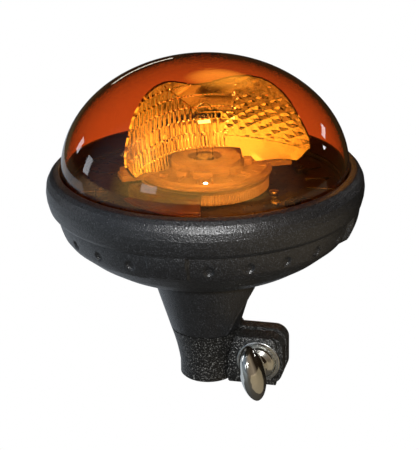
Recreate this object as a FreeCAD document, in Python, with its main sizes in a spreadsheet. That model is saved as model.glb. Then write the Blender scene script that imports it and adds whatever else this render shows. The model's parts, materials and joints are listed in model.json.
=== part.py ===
import FreeCAD, Part
import Sketcher
import math
import os
import re

# Rotating warning beacon on a flexible rubber pole mount, in millimetres.
# Origin: centre of the pole socket's mouth, +Z up along the pole. The clamp lug points along +X
# and its wing screw comes out along -Y.

doc = FreeCAD.newDocument("beacon")
sheet = doc.addObject("Spreadsheet::Sheet", "Dims")
vector = FreeCAD.Vector

driving = {
    # pole socket and clamp
    "poleRadius": 12.25, "stemRadius": 16.6, "jointRadius": 21.8, "jointHeight": 31, "socketStep": 1.25,
    "flareStart": 9, "flareRadius": 120, "lugLength": 47, "lugHalf": 10, "lugTop": 30.5,
    "lugLowRound": 9, "lugTopRound": 8, "slitWidth": 4, "padThick": 3, "padHalf": 14,
    "screwOut": 33.5, "screwHeight": 16.2, "screwRadius": 4, "collarRadius": 9.5, "nutFlats": 13,
    "nutThick": 6.5, "washerRadius": 12.7, "washerThick": 2,
    # contacts and leads in the neck
    "carrierHeight": 13, "pinRadius": 2.2, "pinHeadRadius": 3.6, "discThick": 1.2, "leadRadius": 1.3,
    "liveOut": 4, "earthOut": 8.5,
    # rubber neck and boot
    "neckTopRadius": 32.5, "bootBottom": 66.5, "rubberWall": 3.2, "leadHoleRadius": 10,
    "stepRadius": 87.8, "stepHeight": 108, "lipHeight": 130, "lipRadius": 82.4, "lipWall": 3,
    "bowlRadius": 85,
    "tabWidth": 22, "tabBottom": 93.5, "dimpleRadius": 2.9, "dimpleHeight": 99.5,
    "boltCircle": 20, "boltRadius": 1.9, "boltHead": 3.3, "flangeThick": 3,
    # dome
    "domeRadius": 81.9, "domeRise": 63, "domeBase": 129.5, "domeWall": 2.5, "skirtDrop": 9, "sealThick": 2,
    # chassis and lamp
    "floorHeight": 115, "floorThick": 2.5, "rimHeight": 4, "trayRadius": 82.1, "floorScrew": 1.4,
    "bushBore": 12, "bushRadius": 14, "bushFlange": 17, "lampRadius": 8, "flangeHeight": 131,
    "glassRadius": 4.8,
    # rotor and drive
    "platformRadius": 38, "platformBase": 127, "plateThick": 4, "hubRadius": 20, "hubBore": 9.6,
    "hubTop": 137, "armReach": 50, "armWidth": 11, "armAngle": 88,
    "gearModule": 0.5, "gearTeeth": 144, "pinionTeeth": 16, "pinionRoot": 4, "gearBase": 118.5,
    "gearFace": 6,
    "coverRadius": 47.5, "coverWall": 1.2, "coverStart": -141, "coverSweep": 62,
    "focalLength": 15, "focusHeight": 156, "reflectorWall": 1.2, "beamAngle": -61,
    "motorAngle": -110, "motorRadius": 12, "motorLength": 26, "shaftRadius": 1,
}
for row, (alias, value) in enumerate(driving.items(), start=1):
    sheet.set(f"A{row}", alias)
    sheet.set(f"B{row}", str(value))
    sheet.setAlias(f"B{row}", alias)
doc.recompute()

nodes = []
gear_centre = "(gearTeeth + pinionTeeth) * gearModule / 2"
motor_x = gear_centre + " * cos(motorAngle)"
motor_y = gear_centre + " * sin(motorAngle)"
floor_screws = (("41", "-5"), ("45", "-21"), ("-45", "30"), ("10", "55"))


def named(item, label):
    item.Label = label
    nodes.append(item)
    return item


def expression(text):
    """Prefixes each driving dimension's name with the sheet's."""
    return re.sub(r"[A-Za-z]+", lambda found: "Dims." * (found[0] in driving) + found[0], text)


def size(text):
    return float(sheet.evalExpression(expression(text)))


def bind(item, **sizes):
    for prop, text in sizes.items():
        item.setExpression(prop.replace("_", "."), expression(text))
    return item


def place(item, x="0", y="0", z="0"):
    """Binds an unrotated item's position to the sheet."""
    for axis, text in (("x", x), ("y", y), ("z", z)):
        item.setExpression("Placement.Base." + axis, expression(text))
    return item


def turned(item, axis, angle):
    item.Placement = FreeCAD.Placement(vector(0, 0, 0), FreeCAD.Rotation(axis, angle))
    return item


def cylinder(name, radius, height, x="0", y="0", z="0", axis=None, angle=90):
    item = doc.addObject("Part::Cylinder", name)
    if axis:
        turned(item, axis, angle)
    bind(item, Radius=radius, Height=height)
    return place(item, x, y, z)


def box(name, length, width, height, x="0", y="0", z="0"):
    item = doc.addObject("Part::Box", name)
    bind(item, Length=length, Width=width, Height=height)
    return place(item, x, y, z)


def cut(name, base, tool):
    item = doc.addObject("Part::Cut", name)
    item.Base = base
    item.Tool = tool
    return item


def fuse(name, *shapes):
    item = doc.addObject("Part::MultiFuse", name)
    item.Shapes = list(shapes)
    return item


def common(name, first, second):
    item = doc.addObject("Part::MultiCommon", name)
    item.Shapes = [first, second]
    return item


def tube(name, outer, inner, height, x="0", y="0", z="0"):
    solid = cylinder(name + "_outside", outer, height, x, y, z)
    hole = cylinder(name + "_bore", inner, f"{height} + 2", x, y, f"{z} - 1")
    return cut(name, solid, hole)


def originPlane(body, role):
    return next(f for f in body.Origin.OriginFeatures if f.Role == role)


def outline(sketch, start, *segments):
    """Draws a closed outline from start: each segment is (x, y) for a line, or (x, y, radius) for an
    arc whose centre lies left of the way it is drawn, or right of it where radius starts with '-'.
    Every corner and radius is bound to the sheet."""
    corners = [start] + [segment[:2] for segment in segments]
    points = [vector(size(x), size(y), 0) for x, y in corners]
    for index, segment in enumerate(segments):
        first, last = points[index], points[index + 1]
        if len(segment) == 2:
            sketch.addGeometry(Part.LineSegment(first, last), False)
            continue
        radius = size(segment[2].lstrip("-"))
        side = -1 if segment[2].startswith("-") else 1
        middle = (first + last) * 0.5
        half = (last - first).Length / 2
        across = vector(-(last.y - first.y), last.x - first.x, 0).normalize() * side
        centre = middle + across * math.sqrt(radius * radius - half * half)
        ends = (first, last) if side > 0 else (last, first)
        angles = [math.atan2(end.y - centre.y, end.x - centre.x) for end in ends]
        circle = Part.Circle(centre, vector(0, 0, 1), radius)
        sketch.addGeometry(Part.ArcOfCircle(circle, *angles), False)
    count = len(segments)
    for index in range(count):
        shape = sketch.Geometry[index]
        forward = (shape.StartPoint - points[index]).Length < 1e-6
        start_id, end_id = (1, 2) if forward else (2, 1)
        x, y = corners[index]
        for kind, text in (("DistanceX", x), ("DistanceY", y)):
            if abs(size(text)) < 1e-9:
                line = -2 if kind == "DistanceX" else -1
                sketch.addConstraint(Sketcher.Constraint("PointOnObject", index, start_id, line))
                continue
            offset = Sketcher.Constraint(kind, -1, 1, index, start_id, size(text))
            number = sketch.addConstraint(offset)
            sketch.setExpression(f"Constraints[{number}]", expression(text))
        if len(segments[index]) == 3:
            radius = segments[index][2].lstrip("-")
            number = sketch.addConstraint(Sketcher.Constraint("Radius", index, size(radius)))
            sketch.setExpression(f"Constraints[{number}]", expression(radius))
        after = (index + 1) % count
        after_forward = (sketch.Geometry[after].StartPoint - points[after]).Length < 1e-6
        sketch.addConstraint(
            Sketcher.Constraint("Coincident", index, end_id, after, 1 if after_forward else 2)
        )


def profile(body, name, start, *segments):
    sketch = body.newObject("Sketcher::SketchObject", name)
    sketch.AttachmentSupport = [(originPlane(body, "XZ_Plane"), "")]
    sketch.MapMode = "FlatFace"
    outline(sketch, start, *segments)
    return sketch


def revolved(name, start, *segments, sweep="360"):
    """A body turned about Z from an outline given as radius and height."""
    body = doc.addObject("PartDesign::Body", name)
    sketch = profile(body, name + "_profile", start, *segments)
    turn = body.newObject("PartDesign::Revolution", name + "_turn")
    turn.Profile = sketch
    turn.ReferenceAxis = (sketch, ["V_Axis"])
    turn.setExpression("Angle", expression(sweep))
    return body


def padded(name, thickness, y, start, *segments):
    """A body drawn in the XZ plane and padded to both sides of the plane at y."""
    body = doc.addObject("PartDesign::Body", name)
    sketch = profile(body, name + "_outline", start, *segments)
    pad = body.newObject("PartDesign::Pad", name + "_pad")
    pad.Profile = sketch
    pad.setExpression("Length", expression(thickness))
    pad.Midplane = True
    body.setExpression("Placement.Base.y", expression(y))
    return body


def onScrewAxis(name, radius, length, y):
    """A cylinder along +Y on the clamp screw's axis, starting at y."""
    return cylinder(name, radius, length, "screwOut", y, "screwHeight", vector(1, 0, 0), -90)


def feature(name, shape):
    item = doc.addObject("Part::Feature", name)
    item.Shape = shape
    return item


def ringOf(name, count, first, maker):
    """A group of equal pieces at even angles round Z; maker gives one piece at angle 0."""
    pieces = []
    for index in range(count):
        piece = maker(f"{name}_{index}")
        holder = doc.addObject("Part::Compound", f"{name}_turned_{index}")
        holder.Links = [piece]
        turned(holder, vector(0, 0, 1), first + 360 / count * index)
        pieces.append(holder)
    return pieces


# ---- pole socket -------------------------------------------------------------------------------


def socketClamp():
    stop = "jointHeight - 5"
    narrow = "poleRadius - socketStep"
    stem = revolved(
        "stem", ("poleRadius", "0"), ("stemRadius - 1", "0"), ("stemRadius", "1"),
        ("stemRadius", "flareStart"), ("jointRadius", "jointHeight", "-flareRadius"),
        (narrow, "jointHeight"), (narrow, stop), ("poleRadius", stop), ("poleRadius", "0"),
    )
    root = "poleRadius + 2"
    lug = padded(
        "lug", "lugHalf * 2", "0", (root, "0"), ("lugLength - lugLowRound", "0"),
        ("lugLength", "lugLowRound", "lugLowRound"), ("lugLength", "lugTop - lugTopRound"),
        ("lugLength - lugTopRound", "lugTop", "lugTopRound"), (root, "lugTop"), (root, "0"),
    )
    bore = cylinder("lug_bore", "poleRadius", f"{stop} + 1", z="-1")
    pilot = cylinder("lug_pilot", narrow, "jointHeight")
    slit = box("slit", "lugLength + 5", "slitWidth", "jointHeight + 2", y="0 - slitWidth / 2", z="-1")
    hole = onScrewAxis("lug_hole", "screwRadius + 0.5", "lugHalf * 2 + 2", "0 - lugHalf - 1")
    pocket = hexagon("nut_pocket", "lugHalf", "lugHalf - 5")
    whole = fuse("clamp_whole", stem, lug)
    tools = fuse("clamp_tools", bore, pilot, slit, hole, pocket)
    return named(cut("clamp_cut", whole, tools), "socket_clamp")


def hexagon(name, height, y):
    """A hexagonal prism across the screw axis, as wide across its flats as the nut."""
    prism = doc.addObject("Part::Prism", name)
    prism.Polygon = 6
    turned(prism, vector(1, 0, 0), -90)
    bind(prism, Circumradius="nutFlats / (2 * cos(30))", Height=height)
    return place(prism, "screwOut", y, "screwHeight")


def clampNut():
    nut = hexagon("nut_blank", "nutThick", "lugHalf - 5")
    thread = onScrewAxis("nut_thread", "screwRadius + 0.05", "nutThick + 3.5", "lugHalf - 7")
    return named(cut("nut_cut", nut, thread), "clamp_nut")


def clampPad():
    left = "screwOut - padHalf - 4"
    right = "screwOut + padHalf - 4"
    plate = padded(
        "pad_plate", "padThick", "0 - lugHalf - padThick / 2", (left, "1"), (right, "1"),
        (right, "lugTop - 3"), (right + " - 3", "lugTop"), (left + " + 4.5", "lugTop"),
        (left, "lugTop - 12"), (left, "1"),
    )
    face = "0 - lugHalf - padThick"
    hole = onScrewAxis("pad_hole", "screwRadius + 0.5", "padThick + 2", face + " - 1")
    return named(cut("pad_cut", plate, hole), "clamp_pad")


def clampWasher():
    seat = "0 - lugHalf - padThick - washerThick"
    disc = onScrewAxis("washer_disc", "washerRadius", "washerThick", seat)
    hole = onScrewAxis("washer_hole", "screwRadius + 0.4", "washerThick + 4", seat + " - 2")
    return named(cut("washer_cut", disc, hole), "clamp_washer")


def wingScrew():
    seat = "0 - lugHalf - padThick - washerThick"
    shank = onScrewAxis("screw_shank", "screwRadius", "lugHalf * 2 + 13", seat + " - 3")
    collar = onScrewAxis("screw_collar", "collarRadius", "4", seat + " - 4")
    # distance out from the seat, half height and half thickness of the wing along its length
    stations = ((3, 10, 5.8), (10, 13, 5.2), (17, 15, 4.6), (22, 14.2, 3.6), (25, 11, 1.8))
    upright = FreeCAD.Rotation(vector(1, 0, 0), 90)
    leaning = FreeCAD.Rotation(vector(0, 0, 1), 100)
    sections = []
    for index, (out, half, thick) in enumerate(stations):
        ellipse = doc.addObject("Part::Ellipse", f"wing_section_{index}")
        bind(ellipse, MajorRadius=str(half), MinorRadius=str(thick))
        ellipse.Placement = FreeCAD.Placement(vector(0, 0, 0), upright.multiply(leaning))
        place(ellipse, "screwOut", f"{seat} - {out}", "screwHeight")
        sections.append(ellipse)
    wing = doc.addObject("Part::Loft", "wing")
    wing.Sections = sections
    wing.Solid = True
    return named(fuse("screw_whole", shank, collar, wing), "wing_screw")


# ---- contacts in the neck ----------------------------------------------------------------------


def contactCarrier():
    outer = "poleRadius + 0.5"
    top = "jointHeight + carrierHeight"
    hole = "pinRadius + 0.05"
    chamber = "pinHeadRadius + 0.4"
    step = "jointHeight + 4"
    body = revolved(
        "carrier", (hole, "jointHeight"), (outer, "jointHeight"), (outer, top), (chamber, top),
        (chamber, step), (hole, step), (hole, "jointHeight"),
    )
    return named(body, "contact_carrier")


def earthRing():
    ring = tube("earth", "poleRadius - 1.4", "7", "discThick", z="jointHeight - discThick")
    return named(ring, "earth_ring")


def contactPin():
    shank = cylinder("pin_shank", "pinRadius", "9.5", z="jointHeight - 4.8")
    head = cylinder("pin_head", "pinHeadRadius", "discThick", z="jointHeight + 4")
    return named(fuse("pin_whole", shank, head), "contact_pin")


def contactSpring():
    wire_radius, coil_radius, pitch = 0.35, 2.9, 1.6
    low = size("jointHeight + 4 + discThick") + wire_radius
    high = size("jointHeight + carrierHeight") - wire_radius
    helix = Part.makeHelix(pitch, high - low, coil_radius)
    circle = Part.makeCircle(wire_radius, vector(coil_radius, 0, 0), vector(0, 1, 0))
    coil = Part.Wire(helix.Edges).makePipeShell([Part.Wire(circle)], True, True)
    spring = named(feature("spring_coil", coil), "contact_spring")
    spring.Placement = FreeCAD.Placement(vector(0, 0, low), FreeCAD.Rotation())
    return spring


def contactTerminal():
    disc = cylinder("terminal_disc", "6", "discThick", z="jointHeight + carrierHeight")
    return named(disc, "contact_terminal")


def flexNeck():
    inner = "poleRadius + 0.75"
    body = revolved(
        "neck", (inner, "jointHeight"), ("jointRadius", "jointHeight"), ("neckTopRadius", "bootBottom"),
        (inner, "bootBottom"), (inner, "jointHeight"),
    )
    return named(body, "flex_neck")


def neckLeads():
    carrier_top = "jointHeight + carrierHeight"
    routes = (("live", "liveOut", carrier_top + " + discThick"), ("earth", "0 - earthOut", carrier_top))
    group = doc.addObject("Part::Compound", "neck_lead_pair")
    group.Links = [
        cylinder("lead_" + name, "leadRadius", f"bootBottom - ({foot})", out, z=foot)
        for name, out, foot in routes
    ]
    return named(group, "neck_leads")


# ---- rubber boot and chassis -------------------------------------------------------------------


def onBoltCircle(name, radius, height, z):
    """Three equal upright cylinders on the neck bolts' circle."""
    return ringOf(name, 3, 90, lambda piece: cylinder(piece, radius, height, "boltCircle", z=z))


def bootTabs():
    """Four raised pads round the bowl, where a turned ring meets two crossed bars."""
    ring = revolved(
        "tab_ring", ("80", "tabBottom"), ("lipRadius", "tabBottom"), ("86.2", "tabBottom + 6.5", "24"),
        ("87.2", "stepHeight + 1"), ("80", "stepHeight + 1"), ("80", "tabBottom"),
    )
    low = "tabBottom - 1.5"
    bars = [
        box(f"tab_bar_{name}", length, width, "20", f"0 - {length} / 2", f"0 - {width} / 2", low)
        for name, length, width in (("x", "200", "tabWidth"), ("y", "tabWidth", "200"))
    ]
    return common("tabs", ring, fuse("tab_bars", *bars))


def bootDimples():
    """Round blind dimples every 15 degrees between the tabs."""
    dimples = []
    for step in range(24):
        if step % 6 == 0:
            continue
        dimple = doc.addObject("Part::Cylinder", f"dimple_{step}")
        bind(dimple, Radius="dimpleRadius", Height="6")
        spin = FreeCAD.Rotation(vector(0, 0, 1), 15 * step)
        outward = spin.multiply(FreeCAD.Rotation(vector(0, 1, 0), 90))
        foot = spin.multVec(vector(size("lipRadius + 0.5"), 0, size("dimpleHeight")))
        dimple.Placement = FreeCAD.Placement(foot, outward)
        dimples.append(dimple)
    return dimples


def rubberBoot():
    inside = "lipRadius - lipWall"
    floor = "bootBottom + rubberWall"
    shell = revolved(
        "boot", ("leadHoleRadius", "bootBottom"), ("neckTopRadius", "bootBottom"),
        ("45", "bootBottom + 5.7"), ("69.5", "84.2", "150"), ("82.6", "97", "26"),
        ("bowlRadius", "stepHeight", "60"),
        ("stepRadius", "stepHeight"), ("87.4", "lipHeight - 2", "17"), ("lipRadius", "lipHeight", "5"),
        ("lipRadius", "floorHeight"), (inside, "floorHeight"), (inside, "98.5"), ("68", "87", "-26"),
        ("44", "75.2"), ("30.5", floor), ("leadHoleRadius", floor), ("leadHoleRadius", "bootBottom"),
    )
    screws = onBoltCircle("boot_bolt_hole", "boltHead + 0.2", "2", "bootBottom - 0.01")
    shafts = onBoltCircle("boot_shaft_hole", "boltRadius + 0.1", "12", "bootBottom - 1")
    whole = fuse("boot_whole", shell, bootTabs())
    tools = fuse("boot_tools", *bootDimples(), *screws, *shafts)
    return named(cut("boot_cut", whole, tools), "rubber_boot")


def neckFlange():
    disc = tube("flange", "29.5", "leadHoleRadius", "flangeThick", z="bootBottom + rubberWall")
    holes = onBoltCircle("flange_hole", "boltRadius + 0.1", "8", "bootBottom + 1")
    return named(cut("flange_cut", disc, fuse("flange_holes", *holes)), "neck_flange")


def neckBolts():
    shanks = onBoltCircle("neck_bolt_shank", "boltRadius", "16", "bootBottom + 1.9")
    heads = onBoltCircle("neck_bolt_head", "boltHead", "1.9", "bootBottom + 0.05")
    bolts = [fuse(f"neck_bolt_{index}", *pair) for index, pair in enumerate(zip(shanks, heads))]
    group = doc.addObject("Part::Compound", "neck_bolt_group")
    group.Links = bolts
    return named(group, "neck_bolts")


def chassisPlate():
    rim_top = "floorHeight + rimHeight"
    floor_top = "floorHeight + floorThick"
    tray = revolved(
        "tray", ("bushRadius", "floorHeight"), ("trayRadius", "floorHeight"), ("trayRadius", rim_top),
        ("trayRadius - 5.6", rim_top), ("trayRadius - 6.6", floor_top), ("bushRadius", floor_top),
        ("bushRadius", "floorHeight"),
    )
    base = "bootBottom + rubberWall + flangeThick"
    posts = onBoltCircle("post", "4", f"floorHeight - ({base})", base)
    holes = onBoltCircle("post_hole", "boltRadius", "14", f"{base} - 1")
    under = "floorHeight - 2"
    shaft = cylinder("shaft_hole", "pinionRoot + 1.2", "10", motor_x, motor_y, under)
    screws = [
        cylinder(f"floor_hole_{index}", "floorScrew + 0.1", "10", x, y, under)
        for index, (x, y) in enumerate(floor_screws)
    ]
    whole = fuse("chassis_whole", tray, *posts)
    return named(cut("chassis_cut", whole, fuse("chassis_tools", shaft, *holes, *screws)), "chassis_plate")


def chassisScrews():
    screws = []
    for index, (x, y) in enumerate(floor_screws):
        shank = cylinder(f"floor_shank_{index}", "floorScrew", "7", x, y, "floorHeight - 3")
        head = cylinder(f"floor_head_{index}", "floorScrew * 2", "1.8", x, y, "floorHeight + floorThick")
        screws.append(fuse(f"floor_screw_{index}", shank, head))
    group = doc.addObject("Part::Compound", "floor_screw_group")
    group.Links = screws
    return named(group, "chassis_screws")


def domeSeal():
    seal = tube("seal", "trayRadius", "trayRadius - 3.3", "sealThick", z="floorHeight + rimHeight")
    return named(seal, "dome_seal")


def domeLens():
    shells = []
    for name, wall, drop in (("outer", "0", "skirtDrop - 0.5"), ("inner", "domeWall", "skirtDrop + 1")):
        crown = doc.addObject("Part::Ellipsoid", "dome_crown_" + name)
        across = f"domeRadius - {wall}"
        bind(crown, Radius1=f"domeRise - {wall}", Radius2=across, Radius3=across)
        crown.Angle1 = 0
        crown.Angle2 = 90
        place(crown, z="domeBase")
        skirt = cylinder("dome_skirt_" + name, across, drop, z=f"domeBase - ({drop})")
        shells.append(fuse("dome_" + name, crown, skirt))
    return named(cut("dome_cut", *shells), "dome_lens")


# ---- lamp and motor ----------------------------------------------------------------------------


def bearingBush():
    foot = "floorHeight - 5"
    floor_top = "floorHeight + floorThick"
    collar_top = "gearBase - 0.2"
    top = "platformBase + 3"
    body = revolved(
        "bush", ("bushBore", foot), ("bushRadius - 0.1", foot), ("bushRadius - 0.1", floor_top),
        ("bushFlange", floor_top), ("bushFlange", collar_top), ("bushRadius", collar_top),
        ("bushRadius", top), ("bushBore", top), ("bushBore", foot),
    )
    return named(body, "bearing_bush")


def rotorClip():
    return named(tube("clip", "bushRadius + 2.6", "bushRadius", "1", z="platformBase + 1.4"), "rotor_clip")


def lampHolder():
    foot = "floorHeight - 9"
    body = revolved(
        "holder", ("lampRadius - 3", foot), ("bushBore - 0.1", foot), ("bushBore - 0.1", "flangeHeight"),
        ("lampRadius - 3", "flangeHeight"), ("lampRadius - 3", foot),
    )
    return named(body, "lamp_holder")


def bulbCap():
    shank = cylinder("cap_shank", "lampRadius - 3.1", "12", z="flangeHeight - 12")
    flange = cylinder("cap_flange", "lampRadius - 0.75", "discThick", z="flangeHeight")
    collar = cylinder("cap_collar", "glassRadius + 0.4", "4", z="flangeHeight + discThick")
    return named(fuse("cap_whole", shank, flange, collar), "bulb_cap")


def bulbGlass():
    base = "flangeHeight + discThick + 4"
    shoulder = "focusHeight + 6"
    body = revolved(
        "glass", ("0", base), ("glassRadius", base), ("glassRadius", shoulder),
        ("0", shoulder + " + glassRadius", "glassRadius"), ("0", base),
    )
    return named(body, "bulb_glass")


def bulbClip():
    ring = doc.addObject("Part::Torus", "clip_ring")
    bind(ring, Radius1="glassRadius + 1.6", Radius2="0.5")
    return named(place(ring, z="flangeHeight + discThick + 0.5"), "bulb_clip")


def motorHousing():
    top = "floorHeight - 2.5"
    can = cylinder("can", "motorRadius", "motorLength", motor_x, motor_y, f"{top} - motorLength")
    boss = cylinder("can_boss", "shaftRadius * 3", "1.5", motor_x, motor_y, top)
    bore = cylinder("can_bore", "shaftRadius + 0.05", "14", motor_x, motor_y, f"{top} - 10")
    return named(cut("can_cut", fuse("can_whole", can, boss), bore), "motor_housing")


def motorCap():
    height = "floorHeight - 5.5 - motorLength"
    return named(cylinder("motor_end", "motorRadius - 0.6", "3", motor_x, motor_y, height), "motor_cap")


def motorBracket():
    plate = cylinder("bracket_plate", "motorRadius + 4", "2.5", motor_x, motor_y, "floorHeight - 2.5")
    hole = cylinder("bracket_hole", "shaftRadius * 3 + 0.05", "6", motor_x, motor_y, "floorHeight - 4")
    return named(cut("bracket_cut", plate, hole), "motor_bracket")


def motorShaft():
    shaft = cylinder("shaft", "shaftRadius", "15.2", motor_x, motor_y, "floorHeight - 5.5")
    return named(shaft, "motor_shaft")


def gearCover():
    """A moulded guard on the floor that roofs over the pinion, with a foot along its outer edge."""
    inner = "coverRadius - coverWall"
    eave = "platformRadius + 0.6"
    floor_top = "floorHeight + floorThick"
    top = "platformBase - 0.7"
    foot_top = floor_top + " + coverWall"
    roof = top + " - coverWall"
    cover = revolved(
        "cover", (inner, floor_top), ("coverRadius + 3", floor_top), ("coverRadius + 3", foot_top),
        ("coverRadius", foot_top), ("coverRadius", top + " - 2"), ("coverRadius - 2", top, "2"),
        (eave, top), (eave, roof), (inner + " - 0.8", roof), (inner, roof + " - 0.8", "-0.8"),
        (inner, floor_top), sweep="coverSweep",
    )
    turned(cover, vector(0, 0, 1), size("coverStart"))
    return named(cover, "gear_cover")


def toothedWheel(teeth, module, height, turn):
    """Extruded trapezoid teeth: thin enough to leave backlash, with a tooth centred on the angle turn."""
    pitch = module * teeth / 2
    half_tooth = 360 / teeth * 0.18
    stations = ((-2.0, -1.1), (-0.55, 0.8), (0.55, 0.8), (2.0, -1.1))
    corners = []
    for index in range(teeth):
        for across, up in stations:
            angle = math.radians(turn + 360 / teeth * index + across * half_tooth)
            radius = pitch + up * module
            corners.append(vector(radius * math.cos(angle), radius * math.sin(angle), 0))
    return Part.Face(Part.makePolygon(corners + corners[:1])).extrude(vector(0, 0, height))


def ringGear():
    wheel = toothedWheel(int(size("gearTeeth")), size("gearModule"), size("gearFace"), size("motorAngle"))
    bore = Part.makeCylinder(size("bushFlange"), size("gearFace") + 2, vector(0, 0, -1))
    gear = named(feature("ring_gear_solid", wheel.cut(bore)), "ring_gear")
    gear.Placement = FreeCAD.Placement(vector(0, 0, size("gearBase")), FreeCAD.Rotation())
    return gear


def pinion():
    teeth = int(size("pinionTeeth"))
    gap = size("motorAngle") + 180 + 180 / teeth
    wheel = toothedWheel(teeth, size("gearModule"), size("gearFace"), gap)
    bore = Part.makeCylinder(size("shaftRadius"), size("gearFace") + 2, vector(0, 0, -1))
    gear = named(feature("pinion_solid", wheel.cut(bore)), "pinion")
    centre = vector(size(motor_x), size(motor_y), size("gearBase"))
    gear.Placement = FreeCAD.Placement(centre, FreeCAD.Rotation())
    return gear


def terminalBlock():
    return named(box("terminal", "24", "13", "10", "-38", "18", "floorHeight - 10"), "terminal_block")


def suppressor():
    return named(cylinder("choke", "5", "20", "32", "20", "floorHeight - 20"), "suppressor")


def roundedRoute(points, radius):
    """A round lead along straight runs that meet in tangent arcs."""
    edges = []
    here = points[0]
    for before, corner, after in zip(points, points[1:], points[2:]):
        into = (corner - before).normalize()
        out = (after - corner).normalize()
        run = 0.45 * min((corner - before).Length, (after - corner).Length)
        start = corner - into * run
        end = corner + out * run
        half = into.getAngle(out) / 2
        bend = run / math.tan(half)
        inward = (out - into).normalize()
        centre = corner + inward * (bend / math.cos(half))
        crown = centre - inward * bend
        edges.append(Part.LineSegment(here, start).toShape())
        edges.append(Part.Arc(start, crown, end).toShape())
        here = end
    edges.append(Part.LineSegment(here, points[-1]).toShape())
    path = Part.Wire(edges)
    section = Part.Wire(Part.makeCircle(radius, points[0], points[1] - points[0]))
    return path.makePipeShell([section], True, False)


def headLeads():
    bottom = size("bootBottom")
    floor = size("floorHeight")
    live_x = size("liveOut")
    earth_x = -size("earthOut")
    routes = (
        ((live_x, 0, bottom), (live_x, 0, 78), (32, 20, 84), (32, 20, floor - 20)),
        ((earth_x, 0, bottom), (earth_x, 0, 80), (-26, 25, 92), (-26, 25, floor - 10)),
    )
    shapes = [roundedRoute([vector(*point) for point in route], size("leadRadius")) for route in routes]
    return named(feature("head_lead_pair", Part.Compound(shapes)), "head_leads")


# ---- rotor -------------------------------------------------------------------------------------


def rotorArm(side):
    """A flat arm that steadies the reflector's foot, rounded at its end."""
    start = size("platformRadius") - 6
    width = size("armWidth")
    length = size("armReach") - start
    corner = vector(start, -width / 2, size("platformBase"))
    plate = Part.makeBox(length, width, size("plateThick"), corner)
    upright = [edge for edge in plate.Edges if abs(edge.tangentAt(0).z) > 0.9]
    corners = [edge for edge in upright if edge.BoundBox.XMin > start + 1]
    arm = feature(f"arm_{side}", plate.makeFillet(width / 4, corners))
    return turned(arm, vector(0, 0, 1), size("beamAngle") + side * size("armAngle"))


def rotorPlatform():
    top = "platformBase + plateThick"
    sleeve = "bushRadius + 0.08"
    recess = "bushRadius + 3.4"
    hub = revolved(
        "hub", (sleeve, "gearBase"), ("bushFlange", "gearBase"), ("bushFlange", "platformBase"),
        ("platformRadius", "platformBase"), ("platformRadius", top + " - 1"), ("platformRadius - 2", top),
        ("hubRadius", top), ("hubRadius", "hubTop - 1.5"), ("hubRadius - 1.5", "hubTop", "1.5"),
        ("hubBore", "hubTop"), ("hubBore", "hubTop - 2"), (recess, "hubTop - 2"),
        (recess, "platformBase + 1"), (sleeve, "platformBase + 1"), (sleeve, "gearBase"),
    )
    return named(fuse("platform_whole", hub, rotorArm(-1), rotorArm(1)), "rotor_platform")


def paraboloid(focal, depth):
    """The solid inside a parabola turned about +X from its vertex at the origin, cut off at depth."""
    reach = 2 * math.sqrt(focal * depth)
    curve = Part.Parabola()
    curve.Focal = focal
    arc = Part.ArcOfParabola(curve, 0, reach).toBSpline().toShape()
    rim = vector(depth, reach, 0)
    foot = vector(depth, 0, 0)
    lid = Part.LineSegment(rim, foot).toShape()
    axis = Part.LineSegment(foot, vector(0, 0, 0)).toShape()
    return Part.Face(Part.Wire([arc, lid, axis])).revolve(vector(0, 0, 0), vector(1, 0, 0), 360)


def reflector():
    """A thin shell that focuses on the lamp along the level beam axis, trimmed to its outline."""
    focal = size("focalLength")
    outside = paraboloid(focal, 56)
    outside.translate(vector(-size("reflectorWall"), 0, 0))
    shell = outside.cut(paraboloid(focal, 60))
    shell.translate(vector(-focal, 0, size("focusHeight")))
    foot = size("platformBase") + size("plateThick")
    # half of the outline seen along the beam: sideways distance and height
    outline_points = ((18, foot), (47, foot + 6), (51.5, 150), (43, 168), (27.5, 180.5))
    right = [vector(0, across, up) for across, up in outline_points]
    left = [vector(0, -corner.y, corner.z) for corner in reversed(right)]
    mask = Part.Face(Part.makePolygon(right + left + right[:1])).extrude(vector(100, 0, 0))
    mask.translate(vector(-40, 0, 0))
    hub = Part.makeCylinder(size("hubRadius") + 0.2, 12, vector(0, 0, foot - 5))
    mirror = named(feature("mirror", shell.common(mask).cut(hub)), "reflector")
    return turned(mirror, vector(0, 0, 1), size("beamAngle"))


builders = (
    socketClamp, clampNut, clampPad, clampWasher, wingScrew, contactCarrier, earthRing, contactPin,
    contactSpring, contactTerminal, flexNeck, neckLeads, rubberBoot, neckFlange, neckBolts, chassisPlate,
    chassisScrews, domeSeal, domeLens, bearingBush, rotorClip, lampHolder, bulbCap, bulbGlass, bulbClip,
    motorHousing, motorCap, motorBracket, motorShaft, gearCover, pinion, terminalBlock, suppressor,
    headLeads, rotorPlatform, ringGear, reflector,
)
for build in builders:
    build()
doc.recompute()

for item in doc.Objects:
    broken = {"Invalid", "Error"} & set(item.State)
    if broken:
        raise SystemExit(f"{item.Name} is {broken}")
os.makedirs("parts", exist_ok=True)
for node in nodes:
    shape = node.Shape
    if shape.isNull() or not shape.isValid() or not shape.Solids:
        raise SystemExit(f"{node.Label} has no valid solid")
    shape.exportStep(f"parts/{node.Label}.step")
    print(f"{node.Label}: {len(shape.Solids)} solid, volume {shape.Volume:.1f}")
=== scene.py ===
import json
import math

import bmesh
import bpy
from mathutils import Matrix, Quaternion, Vector


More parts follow.
